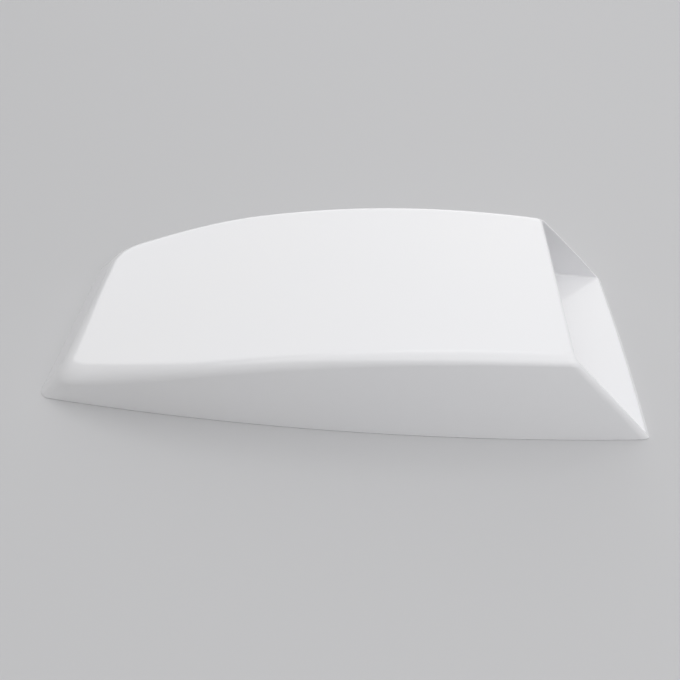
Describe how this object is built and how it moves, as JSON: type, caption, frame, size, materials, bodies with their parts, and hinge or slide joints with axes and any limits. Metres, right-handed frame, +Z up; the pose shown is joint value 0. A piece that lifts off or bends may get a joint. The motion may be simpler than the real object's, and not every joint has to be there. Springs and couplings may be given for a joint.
{
  "type": "bonnet scoop",
  "caption": "Stick-on bonnet scoop: a thin hollow moulding with an arched top, bowed drafted sides, a sloping rear face and a raked open mouth with a floor.",
  "frame": {"origin": "middle of the base plane, under the middle of the overall length and width", "axes": "+X towards the mouth, +Y to the left side seen from behind, +Z up out of the bonnet"},
  "size_m": [0.301, 0.129, 0.048],
  "materials": {
    "shell": "glossy white moulded plastic"
  },
  "bodies": {
    "root": {"scoop": "shell"}
  },
  "joints": []
}
